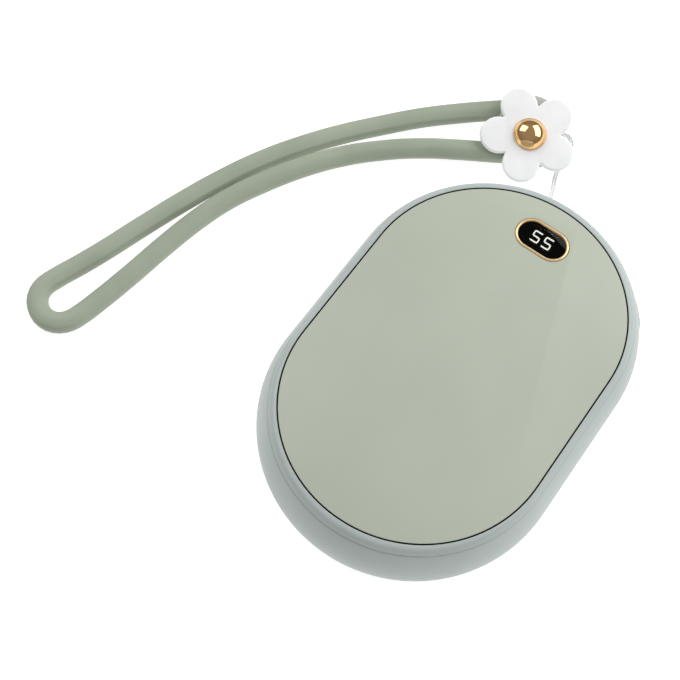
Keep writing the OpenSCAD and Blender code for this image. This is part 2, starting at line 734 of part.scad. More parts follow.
// Frames on the pad, and on the rivet's axis through it
module at_pad() {
    translate([pad_place[0], pad_place[1], pad_lift]) rotate([0, 0, strap_angle])
        rotate([pad_roll, 0, 0]) children();
}
module at_charm(z) { at_pad() translate([charm_place[0], charm_place[1], z]) children(); }

module strap_pad() color(strap_colour) at_end() difference() {
    at_pad() translate([0, 0, pad_z]) linear_extrude(pad_t) rounded_outline(pad_l, pad_w, pad_corner);
    at_charm(0) cylinder(d = stem_d + 2 * lens_gap, h = pad_z + pad_t + overrun);
}

module flower_charm() color("#EDEDED") at_end() at_charm(flower_z) linear_extrude(flower_t) difference() {
    union() {
        circle(web_share * petal_reach);
        for (k = [0:4]) rotate(180 + 360 * k / 5) translate([petal_reach, 0]) circle(d = petal_d);
    }
    circle(d = stem_d + 2 * fit_gap);
}

module rivet_dome() color(gold_colour) at_end() at_charm(dome_z) rotate_extrude() {
    square([dome_d / 2, dome_lip]);
    intersection() {
        square([dome_d / 2, dome_h]);
        translate([0, dome_h - cap_r]) circle(cap_r);
    }
}

module rivet_back() color(steel_colour) at_end() {
    at_charm(0) cylinder(d = back_d, h = pad_z);
    at_charm(pad_z / 2) cylinder(d = stem_d, h = dome_z - pad_z / 2);
}

front_cover();
middle_frame();
rear_cover();
front_plate();
rear_plate();
front_heating_film();
rear_heating_film();
front_foam_sheet();
rear_foam_sheet();
front_thermistor();
rear_thermistor();
front_heater_leads();
rear_heater_leads();
battery_tray();
battery_cell();
battery_foam_pads();
battery_guard_board();
battery_lead_red();
battery_lead_black();
battery_connector();
main_board();
board_chips();
board_inductor();
board_capacitors();
led_module();
display_digits();
display_bezel();
display_lens();
port_shell();
port_tongue();
switch_body();
switch_plunger();
power_button();
case_screws();
board_screws();
lanyard_thread();
strap_loop();
strap_pad();
flower_charm();
rivet_dome();
rivet_back();
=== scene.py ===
import math

import bmesh
import bpy
from mathutils import Matrix, Vector


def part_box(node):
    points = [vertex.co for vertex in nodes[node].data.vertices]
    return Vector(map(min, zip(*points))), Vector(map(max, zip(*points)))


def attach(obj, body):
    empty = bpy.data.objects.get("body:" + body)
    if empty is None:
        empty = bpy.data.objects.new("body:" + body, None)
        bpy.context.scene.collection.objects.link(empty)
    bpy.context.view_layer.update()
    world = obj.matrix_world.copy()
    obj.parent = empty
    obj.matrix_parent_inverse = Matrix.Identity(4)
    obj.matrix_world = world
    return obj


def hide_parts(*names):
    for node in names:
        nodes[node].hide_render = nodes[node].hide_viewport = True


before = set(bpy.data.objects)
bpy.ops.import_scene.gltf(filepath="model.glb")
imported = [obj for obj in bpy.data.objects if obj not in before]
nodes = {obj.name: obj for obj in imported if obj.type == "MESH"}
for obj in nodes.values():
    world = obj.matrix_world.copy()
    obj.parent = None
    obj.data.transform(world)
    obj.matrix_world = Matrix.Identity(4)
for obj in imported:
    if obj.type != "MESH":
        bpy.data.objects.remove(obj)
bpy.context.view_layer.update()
MM = 0.001

# Camera
# It stands over the warmer's right side and looks down at the front plate, with the strap to the left.
# Its place, turn and lens were fitted to the rim, the plate's gap line and the display.
camera_place = (0.03663, -0.11559, 0.2872)
camera_turn = (23.93128, -2.54649, 35.36847)
camera_lens = 71.57
camera_sensor = 36

eye = bpy.data.objects.new("camera", bpy.data.cameras.new("camera"))
eye.location = camera_place
eye.rotation_euler = [math.radians(turn) for turn in camera_turn]
eye.data.lens = camera_lens
eye.data.sensor_width = camera_sensor
eye.data.clip_start = 10 * MM
eye.data.clip_end = 10
bpy.context.collection.objects.link(eye)
bpy.context.scene.camera = eye

# Wrist strap
# A closed loop of moulded silicone: one strand, flat below, with two slopes that meet in a soft ridge.
# Both ends are moulded into the pad that the rivet holds under the flower.
housing_low, housing_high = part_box("middle_frame")
housing_end = housing_high.y / MM
strap_w = 5
strap_h = 3.4
strap_length = 0.262
strap_step = 1.2
# Angle above which an edge is shaded sharp, and steps of a curve between two of its points
crease = math.radians(28)
curve_steps = 16
# Underside of the strand: place, height, and roll in degrees towards its left side
strap_route = [
    (-27.8, 21.1, 4.1, -16), (-30, 19.6, 3.6, -16), (-37.8, 13.8, 1.9, -8), (-45.2, 7.3, 0.7, -2),
    (-52.2, -0.5, 0.2, 0), (-58.7, -8.5, 0, 0), (-64.7, -17.3, 0, 0), (-70, -26.6, 0, 0),
    (-74.5, -36.7, 0, 0), (-78.3, -47.2, 0, 0), (-81.8, -58.3, 0, 0), (-85.1, -69.3, 0, 0),
    (-87, -74.9, 0, 0), (-89.2, -80.9, 0, 0), (-90, -84.1, 0, 0), (-89.4, -86.9, 0, 0),
    (-87.4, -89.1, 0, 0), (-84.5, -90.1, 0, 0), (-81.6, -89.4, 0, 0), (-79.6, -87.3, 0, 0),
    (-78.6, -84.5, 0, 0), (-77.4, -78.9, 0, 0), (-75.8, -69.5, 0, 0), (-74.4, -59.7, 0, 0),
    (-72.6, -49.7, 0, 0), (-69.9, -40.1, 0.4, 7), (-66, -31.3, 0.6, 12), (-61.1, -22.4, 0.8, 17),
    (-55.1, -13.9, 1, 23), (-48.1, -6.4, 1.2, 28), (-40.5, 0.1, 1.2, 28), (-32.2, 5.6, 1.2, 22),
    (-23.9, 10.6, 1.2, 16), (-21.2, 12.3, 1.2, 16)]
# Corners of the strand's section as shares of its width and height, each with the reach of its rounding
strap_section = [
    ((-0.42, 0), 0.2), ((0.42, 0), 0.2), ((0.5, 0.16), 0.25), ((0.5, 0.52), 0.35), ((0.41, 0.8), 0.35),
    ((0, 1), 0.9), ((-0.41, 0.8), 0.35), ((-0.5, 0.52), 0.35), ((-0.5, 0.16), 0.25)]


class Wire:
    """A node's output. Sums and products of wires add their Math nodes."""

    def __init__(self, tree, socket):
        self.tree, self.socket = tree, socket

    def _math(self, operation, left, right):
        return self.tree.node("ShaderNodeMath", {"operation": operation}, _0=left, _1=right)

    def __add__(self, other):
        return self._math("ADD", self, other)

    def __mul__(self, other):
        return self._math("MULTIPLY", self, other)

    __radd__ = __add__
    __rmul__ = __mul__


class Tree:
    """A shader or geometry tree, written as calls. Inputs go by name, or by number as _0, _1 and so on."""

    def __init__(self, tree):
        self.tree = tree

    def node(self, kind, settings=None, out=0, **sockets):
        made = self.tree.nodes.new(kind)
        for key, value in (settings or {}).items():
            setattr(made, key, value)
        for key, value in sockets.items():
            self.join(made.inputs[int(key[1:]) if key[0] == "_" else key.replace("_", " ").strip()], value)
        return Wire(self, made.outputs[out])

    def join(self, socket, value):
        if isinstance(value, Wire):
            self.tree.links.new(value.socket, socket)
        else:
            socket.default_value = value


def tint(code):
    """Linear colour of a web colour code."""
    parts = [int(code[k:k + 2], 16) / 255 for k in (0, 2, 4)]
    return tuple(((p + 0.055) / 1.055) ** 2.4 if p > 0.04045 else p / 12.92 for p in parts) + (1,)


class Finish(Tree):
    """A material on one Principled shader. Fixed values sit on its sockets, and patterns feed a few."""

    def __init__(self, name, **fixed):
        self.material = bpy.data.materials.new(name)
        self.material.use_nodes = True
        super().__init__(self.material.node_tree)
        self.shader = self.tree.nodes["Principled BSDF"]
        self.place = self.node("ShaderNodeTexCoord", out="Object")
        self.feed(**fixed)

    def feed(self, **sockets):
        for key, value in sockets.items():
            self.join(self.shader.inputs[key.replace("_", " ")], value)

    def grain(self, size, detail=2):
        """Noise with features of about that size in millimetres, from 0 to 1."""
        return self.node("ShaderNodeTexNoise", Vector=self.place, Scale=1 / (size * MM), Detail=detail)

    def between(self, low, high, factor):
        """A colour that goes from low to high with the factor."""
        return self.node("ShaderNodeMix", {"data_type": "RGBA"}, out=2, _0=factor, _6=low, _7=high)

    def spread(self, value, low, high, to_low=0, to_high=1):
        """Value, stretched so that low and high become to_low and to_high, and held between them."""
        return self.node("ShaderNodeMapRange", Value=value, From_Min=low, From_Max=high, To_Min=to_low,
                         To_Max=to_high)

    def mottle(self, noise, low=0, high=1):
        """Noise, whose values lie mostly between 0.3 and 0.7, stretched to run from low to high."""
        return self.spread(noise, 0.3, 0.7, low, high)

    def relief(self, height, depth):
        """Feeds a bump of that depth in millimetres."""
        self.feed(Normal=self.node("ShaderNodeBump", Height=height, Distance=depth * MM, Strength=1))


def soften(corners, closed=True, steps=3):
    """Points of an outline with rounded corners. A corner is a point and its rounding's reach both ways."""
    made = []
    for k, (point, reach) in enumerate(corners):
        point = Vector(point)
        if not reach or (not closed and k in (0, len(corners) - 1)):
            made.append(point)
            continue
        start = point + (Vector(corners[k - 1][0]) - point).normalized() * reach
        end = point + (Vector(corners[(k + 1) % len(corners)][0]) - point).normalized() * reach
        for share in (step / steps for step in range(steps + 1)):
            made.append(start.lerp(point, share).lerp(point.lerp(end, share), share))
    return made


def solid(name, points, faces):
    """A piece from points in millimetres, with its faces turned outwards and its soft edges smooth."""
    mesh = bpy.data.meshes.new(name)
    mesh.from_pydata([Vector(point) * MM for point in points], [], faces)
    piece = bpy.data.objects.new(name, mesh)
    bpy.context.collection.objects.link(piece)
    outwards(mesh)
    return piece


def outwards(mesh):
    """Turns the faces of a closed mesh outwards, and shades it smooth up to the crease angle."""
    shape = bmesh.new()
    shape.from_mesh(mesh)
    bmesh.ops.recalc_face_normals(shape, faces=shape.faces)
    shape.to_mesh(mesh)
    shape.free()
    mesh.shade_smooth()
    mesh.set_sharp_from_angle(angle=crease)


def drawn(name, points, closed=False, smooth=True, rolls=()):
    """A curve through points in millimetres, for a path or for an outline that is swept along one."""
    curve = bpy.data.curves.new(name, "CURVE")
    curve.dimensions = "3D"
    line = curve.splines.new("BEZIER" if smooth else "POLY")
    kept = line.bezier_points if smooth else line.points
    kept.add(len(points) - 1)
    for mark, point in zip(kept, points):
        point = Vector(tuple(point) + (0,) * (3 - len(point))) * MM
        mark.co = point if smooth else (*point, 1)
        if smooth:
            mark.handle_left_type = mark.handle_right_type = "AUTO"
    for mark, roll in zip(kept, rolls):
        mark.tilt = math.radians(roll)
    line.resolution_u = curve_steps
    line.use_cyclic_u = closed
    made = bpy.data.objects.new(name, curve)
    bpy.context.collection.objects.link(made)
    return made


def sweep_tree():
    """Geometry tree that sweeps an outline along a path, upright or turning evenly about it."""
    tree = bpy.data.node_groups.new("sweep along a path", "GeometryNodeTree")
    for label, kind in (("Path", "Object"), ("Outline", "Object"), ("Step", "Float"), ("Turn", "Float"),
                        ("Upright", "Bool"), ("Finish", "Material")):
        tree.interface.new_socket(label, in_out="INPUT", socket_type="NodeSocket" + kind)
    tree.interface.new_socket("Swept", in_out="OUTPUT", socket_type="NodeSocketGeometry")
    net = Tree(tree)
    given = tree.nodes.new("NodeGroupInput")
    path, outline, step, turn, upright, finish = [Wire(net, socket) for socket in given.outputs[:6]]
    line = net.node("GeometryNodeObjectInfo", out="Geometry", Object=path)
    line = net.node("GeometryNodeResampleCurve", {"mode": "LENGTH"}, Curve=line, Length=step)
    level = net.node("GeometryNodeSetCurveNormal", {"mode": "Z_UP"}, Curve=line)
    free = net.node("GeometryNodeSetCurveNormal", {"mode": "MINIMUM_TWIST"}, Curve=line)
    line = net.node("GeometryNodeSwitch", {"input_type": "GEOMETRY"}, Switch=upright, False_=free,
                    True_=level)
    run = net.node("GeometryNodeSplineParameter", out="Length")
    tilt = net.node("GeometryNodeInputCurveTilt") + run * turn
    line = net.node("GeometryNodeSetCurveTilt", Curve=line, Tilt=tilt)
    shape = net.node("GeometryNodeObjectInfo", out="Geometry", Object=outline)
    swept = net.node("GeometryNodeCurveToMesh", Curve=line, Profile_Curve=shape, Fill_Caps=True)
    swept = net.node("GeometryNodeSetMaterial", Geometry=swept, Material=finish)
    swept = net.node("GeometryNodeRealizeInstances", Geometry=swept)
    net.join(tree.nodes.new("NodeGroupOutput").inputs[0], swept)
    return tree


def grown(name, tree, **inputs):
    """The plain mesh piece that a geometry tree makes with these inputs."""
    seed = bpy.data.objects.new(name + " seed", bpy.data.meshes.new(name + " seed"))
    bpy.context.collection.objects.link(seed)
    change = seed.modifiers.new("grow", "NODES")
    change.node_group = tree
    for entry in tree.interface.items_tree:
        if entry.in_out == "INPUT" and entry.name in inputs:
            change[entry.identifier] = inputs[entry.name]
    bpy.context.view_layer.update()
    mesh = bpy.data.meshes.new_from_object(seed.evaluated_get(bpy.context.evaluated_depsgraph_get()))
    bpy.data.objects.remove(seed)
    mesh.name = name
    piece = bpy.data.objects.new(name, mesh)
    bpy.context.collection.objects.link(piece)
    return piece


def dressed(piece, finish, body="root", replacing=()):
    """Gives a piece its material and body, shades it smooth, and hides the nodes that it stands for."""
    piece.data.materials.clear()
    piece.data.materials.append(finish.material)
    piece.data.shade_smooth()
    piece.data.set_sharp_from_angle(angle=crease)
    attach(piece, body)
    if replacing:
        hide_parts(*replacing)


sage_silicone = Finish("sage silicone", Roughness=0.52, Specular_IOR_Level=0.45)
strap_clouds = sage_silicone.grain(14)
strap_dust = sage_silicone.grain(0.35, detail=3)
sage_silicone.feed(
    Base_Color=sage_silicone.between(tint("959E8C"), tint("A0A996"), sage_silicone.mottle(strap_clouds)),
    Roughness=sage_silicone.mottle(strap_dust, 0.5, 0.62))
sage_silicone.relief(strap_dust, 0.012)

sweep = sweep_tree()
strand_path = drawn("strand path", [(x, housing_end + y, z) for x, y, z, roll in strap_route],
                    rolls=[roll for x, y, z, roll in strap_route])
strand_outline = drawn("strand outline", soften(
    [((x * strap_w, -y * strap_h), reach) for (x, y), reach in strap_section]), closed=True, smooth=False)
strap_loop = grown("strap_loop", sweep, Path=strand_path, Outline=strand_outline, Step=strap_step * MM,
                   Upright=True, Finish=sage_silicone.material)
outwards(strap_loop.data)
for draft in (strand_path, strand_outline):
    bpy.data.objects.remove(draft)
strap_loop.name = "wrist_strap_loop"
dressed(strap_loop, sage_silicone, replacing=["strap_loop"])

# Lanyard thread
# One loop of thin twisted polyester cord, pale grey and doubled: it passes round the bar in the housing's
# end, and its knotted ends are held in the strap's pad. Its two strands lie side by side, as one flat cord.
thread_d = 0.55
thread_width = 1.15
thread_length = 0.038
thread_ply = 0.4
thread_lay = 1.9
thread_step = 0.12
eye_turn = math.radians(9)
bar_rho = 31.6
turn_r = 1.35
# Middle between the two strands: place, height, and half the distance between them
thread_route = [
    (-15.3, 21.1, 4.3, 0.3), (-14, 22.5, 4.4, 0.3), (-12.9, 23.4, 4.2, 0.3), (-11.7, 23.4, 3.8, 0.3),
    (-10.5, 22.4, 3.2, 0.3), (-9.8, 21, 2.5, 0.3), (-9.6, 19.1, 1.8, 0.3), (-9.8, 17, 1.2, 0.3),
    (-9.7, 15.2, 0.7, 0.3), (-9.1, 13.2, 0.5, 0.3), (-8.3, 11.2, 0.7, 0.3), (-7.6, 9.2, 1.5, 0.3),
    (-7, 7.2, 3, 0.3), (-6.5, 5.4, 5, 0.35), (-6.1, 3.7, 7.2, 0.45), (-5.7, 2, 9, 0.7), (-5.4, 0.2, 9.9, 1.1),
    (-5.2, -1.2, 10, 1.35)]
# Angles in degrees of the loop's points round the bar
turn_angles = [90, 126, 162, 198, 234, 270]
end_round_y = 15.5
mid_z = (housing_low.z + housing_high.z) / 2 / MM

out_way = [Vector((x, housing_end + y, z)) for x, y, z, half in thread_route]
sides = []
for k in range(len(out_way)):
    ahead = out_way[min(k + 1, len(out_way) - 1)] - out_way[max(k - 1, 0)]
    sides.append(Vector((0, 0, 1)).cross(ahead).normalized() * thread_route[k][3])
away = Vector((-math.sin(eye_turn), math.cos(eye_turn), 0))
across = Vector((math.cos(eye_turn), math.sin(eye_turn), 0))
bar_place = Vector((0, end_round_y, mid_z)) + bar_rho * away
thread_points = [point + side for point, side in zip(out_way, sides)]
for angle in map(math.radians, turn_angles):
    thread_points.append(bar_place + turn_r * (math.cos(angle) * away + math.sin(angle) * across))
thread_points += [point - side for point, side in zip(out_way, sides)][::-1]

pale_thread = Finish("pale twisted thread", Roughness=0.7, Specular_IOR_Level=0.3, Sheen_Weight=0.2)
thread_fuzz = pale_thread.grain(0.18, detail=3)
pale_thread.feed(Base_Color=pale_thread.between(tint("DADCDC"), tint("E6E8E8"), thread_fuzz))
pale_thread.relief(thread_fuzz, 0.02)

thread_path = drawn("thread path", thread_points)
# Two plies side by side, closed into one outline
ply_steps = 14
ply_shown = 1.3 * math.pi
ply_shift = thread_d / 2 - thread_ply / 2
ply_outline = []
for way in (1, -1):
    for k in range(ply_steps + 1):
        angle = ply_shown * (k / ply_steps - 0.5)
        ply_outline.append((way * (ply_shift + thread_ply / 2 * math.cos(angle)),
                            way * thread_ply / 2 * math.sin(angle)))
thread_outline = drawn("thread outline", ply_outline, closed=True, smooth=False)
lanyard_thread = grown("lanyard_thread", sweep, Path=thread_path, Outline=thread_outline,
                       Step=thread_step * MM, Turn=2 * math.pi / (thread_lay * MM), Upright=False,
                       Finish=pale_thread.material)
outwards(lanyard_thread.data)
for draft in (thread_path, thread_outline):
    bpy.data.objects.remove(draft)
lanyard_thread.name = "doubled_lanyard_thread"
dressed(lanyard_thread, pale_thread, replacing=["lanyard_thread"])

# Strap pad
# A flat block of greyer silicone, moulded onto the ends of both strands and of the thread. It leans on one
# long edge. The rivet passes through it and holds it under the flower.
pad_l = 16
pad_w = 18.2
pad_t = 3
pad_under = 0.5
pad_corner = 7.76
pad_round = 0.9
pad_round_below = 0.3
pad_roll = math.radians(16)
pad_turn = math.radians(35.4)
pad_place = Vector((-21, housing_end + 19.1, pad_w / 2 * math.sin(pad_roll)))
around_pad = Matrix.Rotation(pad_turn, 4, "Z") @ Matrix.Rotation(pad_roll, 4, "X")
around_pad = Matrix.Translation(pad_place * MM) @ around_pad
charm_centre = (-0.5, -1.6)
stem_d = 3
stem_play = 0.05
around = 64
# Length by which a cutter runs past a face, and the heights between which one from below runs
overrun = 1
cutter_ends = (-overrun, 9)


def skin(name, rings, loop=False):
    """A closed shell through rings of points. Its first and last ring are joined if it loops, else capped."""
    count = len(rings[0])
    faces = []
    for ring in range(len(rings) if loop else len(rings) - 1):
        low, high = ring * count, (ring + 1) % len(rings) * count
        faces += [(low + k, low + (k + 1) % count, high + (k + 1) % count, high + k) for k in range(count)]
    if not loop:
        faces += [tuple(range(count)), tuple(range((len(rings) - 1) * count, len(rings) * count))]
    return solid(name, [point for ring in rings for point in ring], faces)


def circle(r, z, centre, count=around):
    """Level ring of points round a centre."""
    turns = [2 * math.pi * k / count for k in range(count)]
    return [(centre[0] + r * math.cos(turn), centre[1] + r * math.sin(turn), z) for turn in turns]


def carve(piece, cutters, operation="DIFFERENCE"):
    """Cuts the cutters out of a piece, or joins them to it, and leaves one closed mesh."""
    shape = bmesh.new()
    for cutter in cutters:
        shape.from_mesh(cutter.data)
        bpy.data.objects.remove(cutter)
    tool = bpy.data.objects.new("tool", bpy.data.meshes.new("tool"))
    shape.to_mesh(tool.data)
    shape.free()
    bpy.context.collection.objects.link(tool)
    change = piece.modifiers.new("carve", "BOOLEAN")
    change.operation, change.object, change.solver = operation, tool, "EXACT"
    bpy.context.view_layer.update()
    mesh = bpy.data.meshes.new_from_object(piece.evaluated_get(bpy.context.evaluated_depsgraph_get()))
    piece.modifiers.clear()
    piece.data = mesh
    bpy.data.objects.remove(tool)


def rounding(low, high, under, over, steps=5):
    """Insets and heights of a slab whose lower and upper edges are rounded by those radii."""
    levels = []
    for step in range(steps + 1):
        turn = math.pi / 2 * step / steps
        levels.append((under * (1 - math.sin(turn)), low + under * (1 - math.cos(turn))))
    for step in range(steps + 1):
        turn = math.pi / 2 * step / steps
        levels.append((over * (1 - math.cos(turn)), high - over * (1 - math.sin(turn))))
    return levels


def pad_ring(inset, z):
    """Level ring of the pad's rounded rectangle, drawn in by the inset."""
    points = []
    for corner, (x, y) in enumerate(((1, 1), (-1, 1), (-1, -1), (1, -1))):
        for k in range(around // 4):
            angle = math.pi / 2 * (corner + k / (around // 4 - 1))
            points.append((x * (pad_l / 2 - pad_corner) + (pad_corner - inset) * math.cos(angle),
                           y * (pad_w / 2 - pad_corner) + (pad_corner - inset) * math.sin(angle), z))
    return points


def laid(piece):
    """Puts a piece that was made level, round the pad's centre, in its leaning place."""
    piece.data.transform(around_pad)
    return piece


grey_silicone = Finish("pale grey silicone", Roughness=0.55, Specular_IOR_Level=0.4)
pad_clouds = grey_silicone.grain(9)
pad_dust = grey_silicone.grain(0.35, detail=3)
grey_silicone.feed(
    Base_Color=grey_silicone.between(tint("A9AAA6"), tint("B3B4B0"), grey_silicone.mottle(pad_clouds)),
    Roughness=grey_silicone.mottle(pad_dust, 0.52, 0.64))
grey_silicone.relief(pad_dust, 0.012)
pad_top = pad_under + pad_t
strap_pad = skin("moulded_strap_pad", [
    pad_ring(*level) for level in rounding(pad_under, pad_top, pad_round_below, pad_round)])
carve(strap_pad, [skin("stem hole", [circle(stem_d / 2 + stem_play, z, charm_centre) for z in cutter_ends])])
dressed(laid(strap_pad), grey_silicone, replacing=["strap_pad"])

# Flower charm
# Five petals in one piece of glossy white plastic, moulded with soft edges. A bore lets it turn freely on
# the rivet's stem, between the strap's pad and the dome.
petal_reach = 7.65
petal_r = 4.6
web_r = 7.8
flower_turn = math.radians(1)
notch_blend = 0.3
flower_points = 420
flower_edge = 0.5
flower_t = 1.2
flower_play = 0.3
flower_under = pad_top + flower_play
flower_top = flower_under + flower_t
bore_play = 0.15


def petal_outline(inset, z):
    """Level ring round the five petals and the web between them, drawn in by the inset."""
    points = []
    for k in range(flower_points):
        turn = 2 * math.pi * k / flower_points
        off = (turn + math.pi / 5) % (2 * math.pi / 5) - math.pi / 5
        chord = (petal_r - inset) ** 2 - (petal_reach * math.sin(off)) ** 2
        petal = petal_reach * math.cos(off) + math.sqrt(max(chord, 0))
        web = web_r - inset
        ease = max(notch_blend - abs(petal - web), 0) / notch_blend
        r = max(petal, web) + ease ** 2 * notch_blend / 4
        points.append((charm_centre[0] - r * math.cos(turn + flower_turn),
                       charm_centre[1] - r * math.sin(turn + flower_turn), z))
    return points


white_gloss = Finish("white moulded plastic", Roughness=0.3, Specular_IOR_Level=0.5, Coat_Weight=0.25,
                     Coat_Roughness=0.12)
petal_clouds = white_gloss.grain(6)
petal_skin = white_gloss.grain(0.5)
white_gloss.feed(
    Base_Color=white_gloss.between(tint("F3F4F4"), tint("F9F9F9"), white_gloss.mottle(petal_clouds)),
    Roughness=white_gloss.mottle(petal_skin, 0.27, 0.36))
white_gloss.relief(petal_skin, 0.004)
flower = skin("five_petal_flower", [petal_outline(*level) for level in rounding(
    flower_under, flower_top, flower_edge / 2, flower_edge)])
carve(flower, [skin("flower bore", [circle(stem_d / 2 + bore_play, z, charm_centre) for z in cutter_ends])])
dressed(laid(flower), white_gloss, body="flower_charm", replacing=["flower_charm"])

# Rivet
# A polished gold dome with a thin lip, pressed onto the stem of a steel back plate under the pad.
# Dome and plate keep the pad and the flower on the stem.
dome_r = 4.05
dome_lip = 0.3
dome_step = 0.12
dome_h = 2.7
dome_rise = dome_h - dome_lip
dome_rings = 28
dome_play = 0.1
lip_edge = 0.08
lip_foot = 0.2
lip_round = 0.05


def turned(name, profile, centre, count=96):
    """A piece turned on a lathe: the profile's radii and heights round a centre, with both ends capped."""
    return skin(name, [circle(r, z, centre, count) for r, z in profile])


polished_gold = Finish("polished gold plating", Metallic=1, Roughness=0.07)
gold_haze = polished_gold.grain(1.6, detail=3)
polished_gold.feed(
    Base_Color=polished_gold.between(tint("E6B375"), tint("F0C892"), gold_haze),
    Roughness=polished_gold.mottle(gold_haze, 0.05, 0.1))
cap_r = dome_r - dome_step
cap_sphere = (cap_r ** 2 + dome_rise ** 2) / (2 * dome_rise)
base_z = flower_top + dome_play
lip_top = base_z + dome_lip
dome_profile = [(dome_r - lip_foot, base_z), (dome_r, base_z + lip_edge), (dome_r, lip_top - lip_edge),
                (dome_r - lip_round, lip_top), (cap_r, lip_top)]
rim_turn = math.asin(cap_r / cap_sphere)
for ring in range(1, dome_rings):
    turn = rim_turn * (1 - ring / dome_rings)
    dome_profile.append((cap_sphere * math.sin(turn),
                         lip_top + dome_rise - cap_sphere * (1 - math.cos(turn))))
rivet_dome = turned("gold_rivet_dome", dome_profile, charm_centre)
dressed(laid(rivet_dome), polished_gold, replacing=["rivet_dome"])

brushed_steel = Finish("turned steel", Metallic=1, Roughness=0.3)
steel_lines = brushed_steel.grain(0.3, detail=4)
brushed_steel.feed(
    Base_Color=brushed_steel.between(tint("A9ADB1"), tint("C4C7CA"), steel_lines),
    Roughness=brushed_steel.mottle(steel_lines, 0.24, 0.4))
back_d = 6.4
back_t = 0.5
back_round = 0.15
rivet_back = turned("steel_rivet_back", [
    (back_d / 2 - back_round, 0), (back_d / 2, back_round), (back_d / 2, back_t - back_round),
    (back_d / 2 - back_round, back_t), (stem_d / 2, back_t), (stem_d / 2, base_z)], charm_centre)
dressed(laid(rivet_back), brushed_steel, replacing=["rivet_back"])

# Once the pieces that hang on the cords are made, a loop runs over both cords with their widths, lengths,
# points and stiffness, works out each width in metres, and does nothing else with it.
for cord, d, length, points, stiffness in (
        (lanyard_thread, thread_width, thread_length, out_way + [bar_place - turn_r * away], "limp"),
        (strap_loop, strap_w, strap_length,
         [(x, housing_end + y, z + strap_h / 2) for x, y, z, roll in strap_route], "medium")):
    d * MM

# Rear cover
# Moulded in pale grey-green plastic: a rim band round the rear plate's recess, and a floor with four posts
# whose screws clamp the housing from this side.
body_r = housing_high.x / MM
body_t = 2 * mid_z
band = housing_low.z / MM
bulge_r = 16
wall_t = 2
part_edge = 0.32
rim_crest = 0.76
# Depths at which the rim's outline follows the bulged side
rim_marks = (0.9, 1.2)
recess_edge = 0.05
recess_fillet = 0.1
lip_edge_r = 0.1
lip_fillet = 0.2
recess_r = 30.14
recess_end_y = 14.7
plate_depth = 1
film_recess_r = 27.34
floor_out = 1.8
floor_in = 3.2
lip_r = 28.97
post_r = 2.5
post_places = [(x, y) for x in (-24.97, 24.97) for y in (-14, 14)]
post_split = 8
post_root = 0.3
split_gap = 0.15
pilot_d = 2.1
pilot_top = 13.65
screw_d = 2
head_d = 3.4
head_seat = 3.05
screw_play = 0.15
slot_place = (12.6, 24.3)
slot_size = (5.6, 2.4)


def side_r(z, inset=0):
    """Radius of the housing's bulged side at a height, or of a face that lies deeper by the inset."""
    return body_r - bulge_r + math.sqrt((bulge_r - inset) ** 2 - (z - mid_z) ** 2)


def stadium(r, z, end_y, arc=96, side=16):
    """Level ring of the housing's plan: two half rounds with their centres at end_y, joined by sides."""
    points = []
    for way in (1, -1):
        for k in range(arc + 1):
            turn = math.pi * k / arc
            points.append((way * r * math.cos(turn), way * (end_y + r * math.sin(turn)), z))
        points += [(-way * r, way * end_y * (1 - 2 * k / side), z) for k in range(1, side)]
    return points


def obround(w, h, count=around):
    """Points of an outline with two round ends, its long side first."""
    points = []
    for way in (1, -1):
        for k in range(count // 2):
            turn = math.pi * (k / (count // 2 - 1) - 0.5)
            points.append((way * ((w - h) / 2 + h / 2 * math.cos(turn)), way * h / 2 * math.sin(turn)))
    return points


def prism(name, outlines, place):
    """A closed shell through flat outlines, each at its depth along the place's X axis."""
    return skin(name, [[place @ Vector((depth, *point)) for point in outline]
                       for depth, outline in outlines])


def shaft(name, outlines, centre):
    """A closed upright shell through flat outlines, each at its height."""
    return skin(name, [[(centre[0] + x, centre[1] + y, z) for x, y in outline] for z, outline in outlines])


def pillar(r, low, high, centre, count=48):
    """An upright cylinder between two heights."""
    return skin("pillar", [circle(r, z, centre, count) for z in (low, high)])


def cover_shell(name, lift):
    """Cover from its floor round the recess and the rim to its lip. Lift turns depths to heights."""
    top_r = side_r(0)
    inside = [((film_recess_r, floor_out, recess_end_y), 0),
              ((film_recess_r, plate_depth, recess_end_y), recess_edge),
              ((recess_r, plate_depth, recess_end_y), recess_fillet),
              ((recess_r, 0, recess_end_y), recess_edge)]
    rim = [((top_r, 0, end_round_y), rim_crest)]
    rim += [((side_r(depth), depth, end_round_y), 0) for depth in rim_marks]
    rim += [((side_r(band), band, end_round_y), part_edge)]
    lip = [((lip_r, band, end_round_y), lip_edge_r), ((lip_r, floor_in, end_round_y), lip_fillet),
           ((lip_r - wall_t, floor_in, end_round_y), 0)]
    profile = soften(inside + rim + lip, closed=False, steps=6)
    return skin(name, [stadium(r, lift(depth), end_y) for r, depth, end_y in profile])


def screw_posts(low, high, r):
    """One pillar at each of the four posts."""
    return [pillar(r, low, high, place) for place in post_places]


rear_cover = cover_shell("moulded_rear_cover", lambda depth: depth)
carve(rear_cover, screw_posts(floor_out + post_root, post_split, post_r), "UNION")
carve(rear_cover, screw_posts(-overrun, head_seat, head_d / 2 + screw_play))
carve(rear_cover, screw_posts(-overrun, post_split + overrun, screw_d / 2 + screw_play))
carve(rear_cover, [shaft("lead slot", [(z, obround(*slot_size)) for z in cutter_ends], slot_place)])

moulded_sage = Finish("grey-green moulded plastic", Roughness=0.42, Specular_IOR_Level=0.5)
mould_clouds = moulded_sage.grain(22)
mould_texture = moulded_sage.grain(0.22)
moulded_sage.feed(
    Base_Color=moulded_sage.between(tint("ABB5B2"), tint("B2BBB8"), moulded_sage.mottle(mould_clouds)),
    Roughness=moulded_sage.mottle(mould_texture, 0.38, 0.48))
moulded_sage.relief(mould_texture, 0.006)
dressed(rear_cover, moulded_sage, replacing=["rear_cover"])

